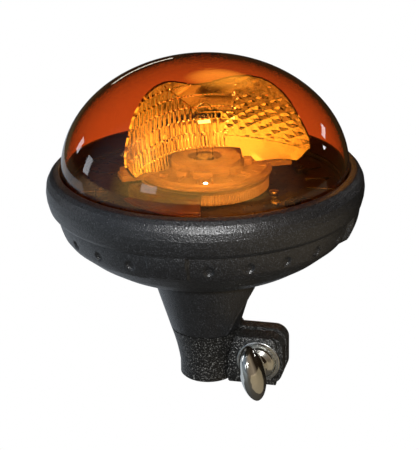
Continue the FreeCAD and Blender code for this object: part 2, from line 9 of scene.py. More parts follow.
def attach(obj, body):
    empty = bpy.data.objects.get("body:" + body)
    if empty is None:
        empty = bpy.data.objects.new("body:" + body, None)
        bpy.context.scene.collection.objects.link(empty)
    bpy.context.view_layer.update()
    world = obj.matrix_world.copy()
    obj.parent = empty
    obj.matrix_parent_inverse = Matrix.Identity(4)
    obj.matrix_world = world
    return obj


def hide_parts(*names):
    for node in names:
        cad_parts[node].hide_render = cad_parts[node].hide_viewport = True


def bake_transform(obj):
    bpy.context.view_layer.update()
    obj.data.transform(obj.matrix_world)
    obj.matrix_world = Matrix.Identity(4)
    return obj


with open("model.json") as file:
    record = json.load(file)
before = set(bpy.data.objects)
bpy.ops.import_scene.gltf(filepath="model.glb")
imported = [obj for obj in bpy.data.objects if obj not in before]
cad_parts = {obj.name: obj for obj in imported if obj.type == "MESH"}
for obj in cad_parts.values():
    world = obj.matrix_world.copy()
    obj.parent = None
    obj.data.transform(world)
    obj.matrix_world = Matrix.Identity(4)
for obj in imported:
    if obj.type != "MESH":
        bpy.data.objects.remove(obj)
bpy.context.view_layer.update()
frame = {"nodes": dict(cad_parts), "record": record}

mm = 0.001
nodes = frame["nodes"]
record = frame["record"]
bodyOf = {node: body for body, names in record["behaviour"]["bodies"].items() for node in names}


def linearColour(hexText):
    # sRGB hex to the linear values that shaders take
    channels = [int(hexText[i:i + 2], 16) / 255 for i in (1, 3, 5)]
    straight = [c / 12.92 if c <= 0.04045 else ((c + 0.055) / 1.055) ** 2.4 for c in channels]
    return (*straight, 1)


def addNode(tree, kind, settings=None, **inputs):
    # one node with its settings; an input is named, or numbered as n0, and takes a value or a socket;
    # stops are a ramp's (position, hex colour) pairs
    node = tree.nodes.new("ShaderNode" + kind)
    for name, value in (settings or {}).items():
        if name != "stops":
            setattr(node, name, value)
            continue
        elements = node.color_ramp.elements
        while len(elements) < len(value):
            elements.new(0.5)
        for element, (position, colour) in zip(elements, value):
            element.position = position
            element.color = linearColour(colour)
    for name, value in inputs.items():
        key = int(name[1:]) if name[1:].isdigit() else name.replace("_", " ")
        if isinstance(value, bpy.types.NodeSocket):
            tree.links.new(value, node.inputs[key])
        else:
            node.inputs[key].default_value = value
    return node


def newMaterial(name, colour, roughness, **inputs):
    # a material named for the real one, and the tree and Principled shader to detail it with
    material = bpy.data.materials.new(name)
    material.use_nodes = True
    tree = material.node_tree
    shader = tree.nodes["Principled BSDF"]
    shader.inputs["Base Color"].default_value = linearColour(colour)
    shader.inputs["Roughness"].default_value = roughness
    for key, value in inputs.items():
        shader.inputs[key.replace("_", " ")].default_value = value
    return material, tree, shader


def grain(tree, size, detail=2.0, stretch=(1, 1, 1)):
    # a noise with features about size millimetres across
    point = addNode(tree, "TexCoord").outputs["Object"]
    mapped = addNode(tree, "Mapping", Vector=point, Scale=stretch)
    noise = addNode(tree, "TexNoise", Vector=mapped.outputs[0], Scale=1 / (size * mm), Detail=detail)
    return noise.outputs[0]


def detail(tree, shader, pattern, shades=None, roughness=None, height=0, span=(0.3, 0.7)):
    # lets a pattern vary a surface over its span: its shade, its roughness, and its height in millimetres
    if shades:
        tint = addNode(tree, "ValToRGB", {"stops": list(zip(span, shades))}, n0=pattern)
        tree.links.new(tint.outputs[0], shader.inputs["Base Color"])
    if roughness:
        low, high = span
        smooth, rough = roughness
        amount = addNode(tree, "MapRange", n0=pattern, n1=low, n2=high, n3=smooth, n4=rough)
        tree.links.new(amount.outputs[0], shader.inputs["Roughness"])
    if height:
        raised = addNode(tree, "Bump", Distance=height * mm, Height=pattern)
        under = shader.inputs["Normal"].links
        if under:
            tree.links.new(under[0].from_socket, raised.inputs["Normal"])
        tree.links.new(raised.outputs[0], shader.inputs["Normal"])


# camera and light

view = {
    "distance": 0.9, "aimHeight": 0.095, "rise": 21.34, "swing": 14.3, "roll": 1.04,
    "lens": 124.8, "sensorHeight": 36, "shiftX": 0.0076, "shiftY": -0.0056,
}
rise, swing = math.radians(view["rise"]), math.radians(view["swing"])
forward = Vector((-math.sin(swing) * math.cos(rise), math.cos(swing) * math.cos(rise), -math.sin(rise)))
aim = Vector((0, 0, view["aimHeight"]))
eye = aim - forward * view["distance"]


def addCamera():
    data = bpy.data.cameras.new("camera")
    data.sensor_fit = "VERTICAL"
    data.sensor_height = view["sensorHeight"]
    data.lens = view["lens"]
    data.shift_x = view["shiftX"]
    data.shift_y = view["shiftY"]
    camera = bpy.data.objects.new("camera", data)
    bpy.context.scene.collection.objects.link(camera)
    camera.location = eye
    camera.rotation_mode = "QUATERNION"
    roll = Quaternion((0, 0, 1), -math.radians(view["roll"]))
    camera.rotation_quaternion = forward.to_track_quat("-Z", "Y") @ roll
    bpy.context.scene.camera = camera


studio = {
    "aimHeight": 0.15, "flashOffset": (0.004, 0, 0.035), "flashSize": 0.03, "flashPower": 7,
    "lights": {
        # name: azimuth, elevation, distance, width, height, power, colour, seen in reflections
        "key": (-144, 40, 1.4, 0.6, 0.5, 3, "#ffffff", False),
        "fill": (-24, 30, 1.4, 0.4, 0.7, 1, "#ffffff", False),
        "lowLeft": (142, -34, 0.5, 0.8, 0.4, 0.55, "#e4eefa", True),
        "lowRight": (-12, -34, 0.5, 0.8, 0.4, 0.3, "#ecd6b0", True),
        "side": (160, 7, 1.3, 0.11, 0.20, 0.25, "#f4f8ff", True),
        "near": (180, 5, 1.3, 0.16, 0.30, 0.55, "#f4f8ff", True),
        "pane": (-119, 9, 1.3, 0.28, 0.20, 0.6, "#f4f8ff", True),
        "streak": (50, 13, 1.3, 0.22, 0.08, 0.25, "#ffffff", True),
        "spot": (38, 10, 1.3, 0.06, 0.06, 0.12, "#ffffff", True),
        "rim": (116, 6, 1.3, 0.30, 0.03, 0.1, "#fff6e8", True),
    },
    # shades of the room from behind the beacon to before it, and its tint from left to right
    "roomShades": [(0.0, "#1c1815"), (0.42, "#26221e"), (0.64, "#9a9ca0"), (1.0, "#6c6c6c")],
    "roomTint": [(0.25, "#dfeeff"), (0.75, "#ffe2c0")],
    "glowWay": (-0.06, 0.70, 0.71), "glowEdge": 0.965, "glowShade": "#ffa030", "glowPower": 6,
    # the room as the mirror inside the dome finds it, and the card straight behind the dome
    "innerShades": [(0.5, "#1c140c"), (0.7, "#523c28"), (0.84, "#e2f2c4"), (1.0, "#e4ffd8")],
    "innerLight": 5.5, "cardShade": "#fbaec6",
    "floorHeight": -0.35, "floorRadius": 6, "floorHalf": 2.5,
    "floorShades": [(0.25, "#8e969c"), (0.5, "#5c5852"), (0.75, "#6e6250")],
    "floorFront": -0.6, "floorBack": 0.8, "floorFade": 0.08,
}


def addAreaLight(name, place, width, height, power, colour="#ffffff", glossy=True):
    data = bpy.data.lights.new(name, "AREA")
    data.shape = "RECTANGLE"
    data.size = width
    data.size_y = height
    data.energy = power
    data.color = linearColour(colour)[:3]
    light = bpy.data.objects.new(name, data)
    bpy.context.scene.collection.objects.link(light)
    light.location = place
    light.visible_glossy = glossy
    light.visible_transmission = name == "key"
    light.visible_camera = False
    light.rotation_mode = "QUATERNION"
    light.rotation_quaternion = (Vector((0, 0, studio["aimHeight"])) - Vector(place)).to_track_quat("-Z", "Y")


def addLights():
    size = studio["flashSize"]
    addAreaLight("flash", eye + Vector(studio["flashOffset"]), size, size, studio["flashPower"])
    for name, (azimuth, elevation, distance, *rest) in studio["lights"].items():
        around, over = math.radians(azimuth), math.radians(elevation)
        out = Vector((math.cos(around) * math.cos(over), math.sin(around) * math.cos(over), math.sin(over)))
        addAreaLight(name, Vector((0, 0, studio["aimHeight"])) + out * distance, *rest)


def paleWhere(tree, room, inner):
    # white to the lens and a card's shade straight behind the dome; a ray that has met the mirror inside the
    # dome finds the inner room, brighter than the one the rest of the beacon stands in
    path = addNode(tree, "LightPath").outputs
    passed, mirrors = path["Is Transmission Ray"], path["Glossy Depth"]
    bounces = addNode(tree, "Math", {"operation": "ADD"}, n0=mirrors, n1=path["Diffuse Depth"]).outputs[0]
    straight = addNode(tree, "Math", {"operation": "LESS_THAN"}, n0=bounces, n1=0.5).outputs[0]
    behind = addNode(tree, "Math", {"operation": "MULTIPLY"}, n0=straight, n1=passed).outputs[0]
    mirrored = addNode(tree, "Math", {"operation": "GREATER_THAN"}, n0=mirrors, n1=0.5).outputs[0]
    inside = addNode(tree, "Math", {"operation": "MULTIPLY"}, n0=mirrored, n1=passed).outputs[0]
    white, card = linearColour("#ffffff"), linearColour(studio["cardShade"])
    shade = room
    for factor, other in ((inside, inner), (behind, card), (path["Is Camera Ray"], white)):
        shade = addNode(tree, "Mix", {"data_type": "RGBA"}, n0=factor, n6=shade, n7=other).outputs[2]
    strength = addNode(tree, "MapRange", n0=inside, n1=0, n2=1, n3=1, n4=studio["innerLight"])
    return shade, strength.outputs[0]


def addWorld():
    # the room is lit before the beacon and dark behind it, cool left and warm right, with a golden glow above
    world = bpy.data.worlds.new("studio")
    bpy.context.scene.world = world
    world.use_nodes = True
    tree = world.node_tree
    ray = addNode(tree, "TexCoord").outputs["Generated"]
    axes = addNode(tree, "SeparateXYZ", n0=ray).outputs
    depth = addNode(tree, "MapRange", n0=axes[1], n1=-1, n2=1, n3=1, n4=0).outputs[0]
    front = addNode(tree, "ValToRGB", {"stops": studio["roomShades"]}, n0=depth).outputs[0]
    sideways = addNode(tree, "MapRange", n0=axes[0], n1=-1, n2=1, n3=0, n4=1).outputs[0]
    tint = addNode(tree, "ValToRGB", {"stops": studio["roomTint"]}, n0=sideways).outputs[0]
    tinted = addNode(tree, "Mix", {"data_type": "RGBA", "blend_type": "MULTIPLY"}, n0=1.0, n6=front, n7=tint)
    toGlow = addNode(tree, "VectorMath", {"operation": "DOT_PRODUCT"}, n0=ray, n1=studio["glowWay"])
    glow = addNode(
        tree, "MapRange", {"interpolation_type": "SMOOTHERSTEP"},
        n0=toGlow.outputs["Value"], n1=studio["glowEdge"], n2=1, n3=0, n4=1,
    )
    gold = [studio["glowPower"] * channel for channel in linearColour(studio["glowShade"])[:3]] + [1]
    room = addNode(tree, "Mix", {"data_type": "RGBA"}, n0=glow.outputs[0], n6=tinted.outputs[2], n7=gold)
    inner = addNode(tree, "ValToRGB", {"stops": studio["innerShades"]}, n0=depth).outputs[0]
    shade, strength = paleWhere(tree, room.outputs[2], inner)
    tree.links.new(shade, tree.nodes["Background"].inputs["Color"])
    tree.links.new(strength, tree.nodes["Background"].inputs["Strength"])


def addFloor():
    # a white sweep to the lens, fading into the dark behind the beacon for everything else
    mesh = bmesh.new()
    bmesh.ops.create_circle(mesh, cap_ends=True, segments=64, radius=studio["floorRadius"])
    bmesh.ops.translate(mesh, vec=(0, 0, studio["floorHeight"]), verts=mesh.verts)
    data = bpy.data.meshes.new("floor")
    mesh.to_mesh(data)
    mesh.free()
    floor = bpy.data.objects.new("floor", data)
    bpy.context.scene.collection.objects.link(floor)
    material, tree, shader = newMaterial("painted floor, matt white", "#000000", 0.9)
    shader.inputs["Specular IOR Level"].default_value = 0
    place = addNode(tree, "SeparateXYZ", n0=addNode(tree, "TexCoord").outputs["Object"]).outputs
    half = studio["floorHalf"]
    sideways = addNode(tree, "MapRange", n0=place[0], n1=-half, n2=half, n3=0, n4=1).outputs[0]
    warmth = addNode(tree, "ValToRGB", {"stops": studio["floorShades"]}, n0=sideways).outputs[0]
    front, back = studio["floorFront"], studio["floorBack"]
    depth = addNode(tree, "MapRange", n0=place[1], n1=front, n2=back, n3=1, n4=studio["floorFade"]).outputs[0]
    faded = addNode(tree, "VectorMath", {"operation": "SCALE"}, n0=warmth, Scale=depth).outputs[0]
    shade, strength = paleWhere(tree, faded, faded)
    tree.links.new(shade, shader.inputs["Emission Color"])
    tree.links.new(strength, shader.inputs["Emission Strength"])
    data.materials.append(material)


addCamera()
addWorld()
addFloor()
addLights()
bpy.context.scene.view_settings.view_transform = "Standard"
print("camera and studio placed")

# shaping


def rounded(points, steps=4):
    # turns corners given as (across, up, radius) into short arcs; a corner without a radius stays sharp
    outline = []
    for index, point in enumerate(points):
        corner = Vector(point[:2])
        if len(point) == 2 or index in (0, len(points) - 1):
            outline.append(corner)
            continue
        before = (Vector(points[index - 1][:2]) - corner).normalized()
        after = (Vector(points[index + 1][:2]) - corner).normalized()
        half = before.angle(after) / 2
        reach = point[2] / math.tan(half)
        start, end = corner + before * reach, corner + after * reach
        for step in range(steps + 1):
            part = step / steps
            outline.append(start * (1 - part) ** 2 + corner * 2 * part * (1 - part) + end * part ** 2)
    return outline


def turned(outline, steps=96, closed=True):
    # spins an outline of (radius, height) in millimetres round Z
    mesh = bmesh.new()
    verts = [mesh.verts.new((x * mm, 0, z * mm)) for x, z in outline]
    pairs = list(zip(verts, verts[1:])) + ([(verts[-1], verts[0])] if closed else [])
    edges = [mesh.edges.new(pair) for pair in pairs]
    bmesh.ops.spin(
        mesh, geom=verts + edges, cent=(0, 0, 0), axis=(0, 0, 1), angle=2 * math.pi, steps=steps,
        use_merge=True,
    )
    bmesh.ops.remove_doubles(mesh, verts=mesh.verts, dist=0.002 * mm)
    bmesh.ops.recalc_face_normals(mesh, faces=mesh.faces)
    return mesh


def addBlock(mesh, size, centre, angle, bevel):
    # an eased block: size and centre in millimetres, turned about Z
    made = bmesh.ops.create_cube(mesh, size=mm)["verts"]
    bmesh.ops.scale(mesh, vec=size, verts=made)
    edges = list({edge for vert in made for edge in vert.link_edges})
    softened = bmesh.ops.bevel(
        mesh, geom=edges, offset=bevel * mm, offset_type="OFFSET", segments=2, profile=0.5, affect="EDGES",
        material=-1, clamp_overlap=True,
    )
    corners = {vert for face in softened["faces"] for vert in face.verts}
    corners = list(corners | {vert for vert in made if vert.is_valid})
    bmesh.ops.translate(mesh, vec=Vector(centre) * mm, verts=corners)
    bmesh.ops.rotate(mesh, cent=(0, 0, 0), matrix=Matrix.Rotation(math.radians(angle), 3, "Z"), verts=corners)


def makePiece(name, mesh, node, material, replaced=(), sharp=38, across=None):
    # a finished bmesh becomes a piece that stands in for a CAD node; it rides with that node's body, or, when
    # across is given, stays in place with its transform baked and no body.
    # across holds two bodies and two heights, which are not used
    data = bpy.data.meshes.new(name)
    mesh.to_mesh(data)
    mesh.free()
    piece = bpy.data.objects.new(name, data)
    bpy.context.scene.collection.objects.link(piece)
    data.materials.append(material)
    data.shade_smooth()
    data.set_sharp_from_angle(angle=math.radians(sharp))
    if across:
        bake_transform(piece)
    else:
        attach(piece, bodyOf[node])
    if replaced:
        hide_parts(*replaced)


def eased(node, material, width=0.3, segments=2, crease=40, across=None):
    # a copy of a CAD node with its hard edges rounded stands in for it
    mesh = bmesh.new()
    mesh.from_mesh(nodes[node].data)
    bmesh.ops.remove_doubles(mesh, verts=mesh.verts, dist=0.005 * mm)
    bmesh.ops.dissolve_limit(mesh, angle_limit=math.radians(0.5), verts=mesh.verts, edges=mesh.edges)
    hard = [edge for edge in mesh.edges if edge.calc_face_angle(0) > math.radians(crease)]
    bmesh.ops.bevel(
        mesh, geom=hard, offset=width * mm, offset_type="OFFSET", segments=segments, profile=0.5,
        affect="EDGES", material=-1, clamp_overlap=True,
    )
    makePiece(node + "_part", mesh, node, material, (node,), across=across)


def smoothStep(value, low, high):
    # 0 below low, 1 above high, and an even curve between
    part = min(max((value - low) / (high - low), 0), 1)
    return part * part * (3 - 2 * part)


# dome


def letLampThrough(tree, shader, shade):
    # to a shadow ray the wall is a plain filter, so the lamps reach what stands inside
    clear = addNode(tree, "BsdfTransparent", Color=linearColour(shade))
    path = addNode(tree, "LightPath")
    shadow = path.outputs["Is Shadow Ray"]
    mix = addNode(tree, "MixShader", n0=shadow, n1=shader.outputs[0], n2=clear.outputs[0])
    tree.links.new(mix.outputs[0], tree.nodes["Material Output"].inputs["Surface"])


def amberAcrylic():
    # acrylic dyed amber through and moulded to a mirror gloss: deep orange, darker where seen edge on,
    # with faint rings round the gate at the crown
    material, tree, shader = newMaterial(
        "amber acrylic, injection moulded", "#e7aa61", 0.015, Transmission_Weight=1.0, IOR=1.49,
    )
    edge = addNode(tree, "LayerWeight", Blend=0.12).outputs["Facing"]
    stops = [(0.0, "#e7aa61"), (0.6, "#dc9a50"), (1.0, "#6a3818")]
    tint = addNode(tree, "ValToRGB", {"stops": stops}, n0=edge)
    tree.links.new(tint.outputs[0], shader.inputs["Base Color"])
    detail(tree, shader, grain(tree, 26, detail=1.0), height=0.05)
    point = addNode(tree, "TexCoord").outputs["Object"]
    place = addNode(tree, "SeparateXYZ", n0=point).outputs
    low, top = dome["gateLow"] * mm, dome["gateTop"] * mm
    crown = addNode(tree, "MapRange", n0=place[2], n1=low, n2=top, n3=0, n4=1).outputs[0]
    rings = addNode(
        tree, "TexWave", {"wave_type": "RINGS", "rings_direction": "Z"},
        Vector=point, Scale=dome["gateRings"],
    ).outputs[1]
    gate = addNode(tree, "Math", {"operation": "MULTIPLY"}, n0=rings, n1=crown)
    detail(tree, shader, gate.outputs[0], height=0.03)
    letLampThrough(tree, shader, "#f4d5a9")
    return material


dome = {
    "radius": 81.9, "rise": 63, "base": 129.5, "wall": 2.5, "foot": 121, "arcs": 40, "steps": 128,
    "gateLow": 190.5, "gateTop": 192.2, "gateRings": 110,
}


def makeDome():
    # an upright skirt that closes in a flattened dome, open below and the same thickness all over
    outline = []
    for wall, direction in ((0, 1), (dome["wall"], -1)):
        side = []
        for step in range(dome["arcs"] + 1):
            angle = math.pi / 2 * step / dome["arcs"]
            across = (dome["radius"] - wall) * math.cos(angle)
            up = dome["base"] + (dome["rise"] - wall) * math.sin(angle)
            side.append((across if step < dome["arcs"] else 0, up))
        side = [(dome["radius"] - wall, dome["foot"])] + side
        outline += side[::direction]
    mesh = turned(outline, dome["steps"])
    makePiece("dome_shell", mesh, "dome_lens", amberAcrylic(), ("dome_lens",), sharp=50)


# rubber boot and neck


def mouldedRubber():
    # EPDM moulded in a sparked tool: soft black, with a fine bright speckle painted into its colour as
    # painted glints where the grain would catch light
    material, tree, shader = newMaterial(
        "EPDM rubber, moulded", "#151516", 0.42, IOR=1.52, Specular_IOR_Level=0.8,
    )
    # light specks painted into the base colour: painted glints on the grain, not the rubber's own colour
    detail(tree, shader, grain(tree, 0.6), ("#121315", "#54565a"), span=(0.55, 0.78))
    detail(tree, shader, grain(tree, 18), height=0.2)
    detail(tree, shader, grain(tree, 0.9), roughness=(0.26, 0.46), height=0.35)
    return material


boot = {
    "bandFoot": 82.6, "bandTop": 85, "bandUp": 97, "bandRise": 11,
    "bandRows": (97.2, 98.0, 98.8, 99.5, 100.2, 101.0, 101.8, 102.8, 104.2, 105.8),
    "tabWidth": 22, "tabLow": 93.5, "tabFoot": 83.6, "tabSwell": 4.6, "tabRise": 15,
    "dimple": 2.9, "dimpleUp": 99.5, "dimpleDeep": 1.2, "dimpleEvery": 15, "steps": 900,
}


def ringOuter(up):
    # the bowl's radius under the ring's step
    part = min(max((up - boot["bandUp"]) / boot["bandRise"], 0), 1)
    return boot["bandFoot"] + (boot["bandTop"] - boot["bandFoot"]) * math.sin(math.pi / 2 * part)


def makeBoot():
    band = [(81.9, 95.2), (82.4, 96.4)] + [(ringOuter(up), up) for up in boot["bandRows"]]
    outline = rounded([
        (10, 66.5), (32.0, 66.5), (33.6, 66.9), (45, 71.6, 20), (60, 77.6, 20), (70.0, 84.0, 14),
        (79.6, 92.0, 3), *band, (85, 107.0), (85, 108.0, 0.5), (87.2, 108.2, 1.2), (89.2, 110.6, 3),
        (90.4, 115.4, 3), (90.75, 119, 3), (90.2, 123.6, 3), (88.4, 127.2, 2), (86.4, 129.4, 2),
        (82.4, 130.4, 0.9), (82.4, 115), (79.4, 115), (79.4, 98.5), (68, 87), (44, 75.2), (30.5, 69.7),
        (10, 69.7),
    ])
    mesh = turned(outline, boot["steps"])
    for vert in mesh.verts:
        shapeBoot(vert)
    bmesh.ops.recalc_face_normals(mesh, faces=mesh.faces)
    makePiece("boot_shell", mesh, "rubber_boot", mouldedRubber(), ("rubber_boot",))


def shapeBoot(vert):
    # four soft-edged tabs run down from the ring, with blind dimples between them; all but the outer
    # wall under the ring stays round
    across, up = vert.co.xy.length / mm, vert.co.z / mm
    angle = math.degrees(math.atan2(vert.co.y, vert.co.x)) % 90
    off = min(angle, 90 - angle)
    if across < 79.6 or not 88 < up < 111 or (across < 82.3 and up > 97.5):
        return
    sideways = across * math.sin(math.radians(off))
    inside = 1 - smoothStep(sideways, boot["tabWidth"] / 2 - 0.7, boot["tabWidth"] / 2 + 0.5)
    under = smoothStep(up, boot["tabLow"] - 1.0, boot["tabLow"] + 1.0)
    part = min(max((up - boot["tabLow"]) / boot["tabRise"], 0), 1)
    tab = boot["tabFoot"] + boot["tabSwell"] * math.sin(math.pi / 2 * part)
    wanted = across + (max(tab, across) - across) * inside * under
    step = round(angle / boot["dimpleEvery"]) * boot["dimpleEvery"]
    if step not in (0, 90):
        away = math.hypot(across * math.radians(angle - step), up - boot["dimpleUp"])
        wanted -= boot["dimpleDeep"] * (1 - smoothStep(away, boot["dimple"] - 0.9, boot["dimple"]))
    if wanted != across:
        vert.co.xy *= wanted / across


neck = {
    "foot": 31.0, "top": 66.5, "footRadius": 21.8, "topRadius": 32.5, "bore": 13, "rows": 34, "steps": 360,
    "archTop": 63, "archHalf": 44, "archCurve": 0.62, "deep": 2.8, "lip": 0.45,
}


def makeNeck():
    # a cone with eased ends; above the clamp an arch is set back within a raised lip, under a small block
    foot, top, footRadius, topRadius = neck["foot"], neck["top"], neck["footRadius"], neck["topRadius"]
    side = []
    for row in range(neck["rows"] + 1):
        part = row / neck["rows"]
        side.append((footRadius + (topRadius - footRadius) * part, foot + (top - foot) * part))
    side[0] = (footRadius - 0.9, foot + 0.05)
    side.insert(1, (footRadius - 0.1, foot + 0.5))
    side.insert(-1, (topRadius - 0.6, top - 1.2))
    side[-1] = (topRadius - 2.4, top - 0.3)
    mesh = turned([(neck["bore"], foot + 0.05)] + side + [(neck["bore"], top - 0.3)], neck["steps"])
    for vert in mesh.verts:
        across, up = vert.co.xy.length / mm, vert.co.z / mm
        if across < 16:
            continue
        off = abs(math.degrees(math.atan2(vert.co.y, vert.co.x)))
        part = min(max((neck["archTop"] - up) / (neck["archTop"] - foot), 0), 1)
        edge = neck["archHalf"] * part ** neck["archCurve"]
        reach = (edge - off) * across * math.pi / 180
        lip = neck["lip"] * math.exp(-((reach + 0.7) / 0.6) ** 2) * smoothStep(part, 0.02, 0.1)
        vert.co.xy *= 1 - (neck["deep"] * smoothStep(reach, 0, 0.9) - lip) / across
    bmesh.ops.recalc_face_normals(mesh, faces=mesh.faces)
    addBlock(mesh, (3.6, 7, 6.5), (32.2, 2, 62.0), angle=8, bevel=0.6)
    bends = ("root", "head", 34, 63)
    makePiece("neck_sleeve", mesh, "flex_neck", mouldedRubber(), ("flex_neck",), sharp=60, across=bends)
    eased("neck_leads", pvcJacket(), 0.1, across=("root", "head", 46, 63))


# pole clamp


def glassFilledNylon():
    # nylon with glass fibre from a coarse sparked tool: a dull black with a gritty grain, its sparkle painted
    # into its colour as light specks (painted glints)
    material, tree, shader = newMaterial("glass filled nylon, moulded", "#131312", 0.4, IOR=1.53)
    # light specks painted into the base colour: painted glints on the grain, not the nylon's own colour
    detail(tree, shader, grain(tree, 0.9, detail=1.0), ("#111110", "#82827f"), span=(0.57, 0.75))
    detail(tree, shader, grain(tree, 1.1, detail=3.0), roughness=(0.25, 0.5), height=0.9)
    return material


def polishedZinc():
    # a zinc casting polished by hand and bright plated: a mirror with slow waves in it
    material, tree, shader = newMaterial("zinc casting, polished and plated", "#dadad4", 0.09, Metallic=1.0)
    detail(tree, shader, grain(tree, 2.5, detail=4.0), roughness=(0.07, 0.2), span=(0.3, 0.8))
    detail(tree, shader, grain(tree, 9, detail=1.0), height=0.6)
    return material


def brightZinc():
    # steel with bright zinc plating over stamping marks: cool and slightly cloudy
    material, tree, shader = newMaterial("steel, bright zinc plated", "#d6d8d8", 0.25, Metallic=1.0)
    detail(tree, shader, grain(tree, 3), ("#ccd0d2", "#e4e4e0"), (0.2, 0.34))
    detail(tree, shader, grain(tree, 0.7), height=0.01)
    return material


screw = {
    "out": 33.5, "up": 16.2, "seat": -15, "lean": 12, "wingHalf": 17.2, "wingOut": 24.4, "wingThick": 7.3,
    "wingRidge": 1.12, "rootThinner": 0.12, "rootShorter": 0.3, "rootGap": 1.5,
}


def ontoScrewAxis(mesh):
    # a shape turned about Z with its face up is laid along the screw's axis, face outwards
    bmesh.ops.rotate(mesh, cent=(0, 0, 0), matrix=Matrix.Rotation(math.radians(90), 3, "X"), verts=mesh.verts)
    place = Vector((screw["out"], screw["seat"], screw["up"])) * mm
    bmesh.ops.translate(mesh, vec=place, verts=mesh.verts)


def makeWasher():
    outline = rounded([
        (4.4, -2), (12.7, -2, 0.3), (12.7, 0.2, 0.5), (12.0, 0.35, 0.3), (10.6, 0.35, 0.4), (10.1, -0.5, 0.3),
        (4.4, -0.5), (4.4, -2),
    ])
    mesh = turned(outline)
    ontoScrewAxis(mesh)
    makePiece("washer", mesh, "clamp_washer", brightZinc(), ("clamp_washer",))


def makeScrew():
    mesh = turned(rounded([
        (0, -33), (3.2, -33), (4, -32, 0.4), (4, -0.4), (9.6, -0.4, 0.2), (9.8, 1.0, 0.6), (9.2, 2.6, 0.8),
        (6.6, 3.6, 0.8), (5.6, 6.0, 1.5), (5.4, 12), (0, 12),
    ]), 64, closed=False)
    ontoScrewAxis(mesh)
    makePiece("screw_shank", mesh, "wing_screw", polishedZinc(), ("wing_screw",))
    leaf = bmesh.new()
    bmesh.ops.create_uvsphere(leaf, u_segments=64, v_segments=28, radius=1)
    upright = Matrix.Rotation(math.radians(90), 3, "Y")
    bmesh.ops.rotate(leaf, cent=(0, 0, 0), matrix=upright, verts=leaf.verts)
    for vert in leaf.verts:
        # a lens with a parting ridge round its rim, fuller at its free edge than at its root
        thick, out, up = vert.co.x, -vert.co.y, vert.co.z
        root = smoothStep(-out, -0.2, 1)
        ridged = math.copysign(abs(thick) ** screw["wingRidge"], thick)
        vert.co = Vector((
            ridged * screw["wingThick"] * (1 - screw["rootThinner"] * root),
            -(out * screw["wingOut"] / 2),
            up * screw["wingHalf"] * (1 - screw["rootShorter"] * root),
        )) * mm
    leaning = Matrix.Rotation(math.radians(-screw["lean"]), 3, "Y")
    bmesh.ops.rotate(leaf, cent=(0, 0, 0), matrix=leaning, verts=leaf.verts)
    centre = Vector((screw["out"], screw["seat"] - screw["rootGap"] - screw["wingOut"] / 2, screw["up"])) * mm
    bmesh.ops.translate(leaf, vec=centre, verts=leaf.verts)
    makePiece("wing_leaf", leaf, "wing_screw", polishedZinc(), sharp=80)


def makeClamp():
    eased("socket_clamp", glassFilledNylon(), 0.7, segments=3)
    eased("clamp_pad", glassFilledNylon(), 0.4)
    eased("clamp_nut", brightZinc(), 0.4)
    makeWasher()
    makeScrew()


# rotor


def naturalAcetal():
    # natural acetal, moulded satin and aged to a tan, with faint flow marks
    material, tree, shader = newMaterial("acetal, natural, moulded", "#e9dfc8", 0.36, IOR=1.48)
    detail(tree, shader, grain(tree, 14, stretch=(1, 1, 3)), ("#a5967a", "#c6b99c"))
    detail(tree, shader, grain(tree, 3), roughness=(0.26, 0.44))
    detail(tree, shader, grain(tree, 0.9), height=0.06)
    return material


def metallisedMirror():
    # aluminium evaporated on a lacquered moulding: a bright mirror with a faint orange peel
    material, tree, shader = newMaterial("aluminised mirror coat", "#f6f4ee", 0.1, Metallic=1.0)
    detail(tree, shader, grain(tree, 6), roughness=(0.04, 0.12))
    detail(tree, shader, grain(tree, 1.6), height=0.03)
    return material


rotor = {
    "beam": -61, "armAngle": 88,
    # the blocks of an arm: size, centre and easing
    "armBlocks": (
        ((19, 11, 3.4), (40.5, 0, 129), 0.8), ((5, 8, 5.5), (46.5, 0, 131), 0.8),
        ((9, 1.6, 3.2), (37, 3.4, 131.6), 0.4), ((9, 1.6, 3.2), (37, -3.4, 131.6), 0.4),
    ),
    "blockAngles": (-106, -84, -73, -30, 14, 104, 190), "stubAngles": (-140, -124),
    "ribs": 20, "ribTurn": 5,
}
mirror = {
    "focal": 15, "focus": 156, "wall": 1.2, "columns": 230, "rows": 92, "sharp": 28,
    "half": 51.5, "shoulder": 150, "crown": 32.6, "crownCurve": 4.9, "dip": 8, "dipHalf": 17,
    "hubHalf": 21.5, "hubClear": 137.8, "foot": 131.3, "leastTall": 0.4,
    # how the lower edge climbs towards the sides: from, to, by
    "footClimbs": ((22, 46, 5.2), (45, 53.5, 9.5)),
    "bandFoot": 131, "bandRise": 7.4, "ledge": 0.5, "bottomBand": 144,
    "pillowFrom": 14, "pillow": 4.2, "pillowDeep": 0.5, "pillowLedge": 0.4, "slant": (0.8, 0.6),
    "flute": 3.3, "lowFlute": 2.1, "fluteDeep": 0.55, "fluteShift": 0.37,
    "fanFoot": 157, "fanSlope": 0.95, "fanTo": 19, "fanLedge": 0.25,
}


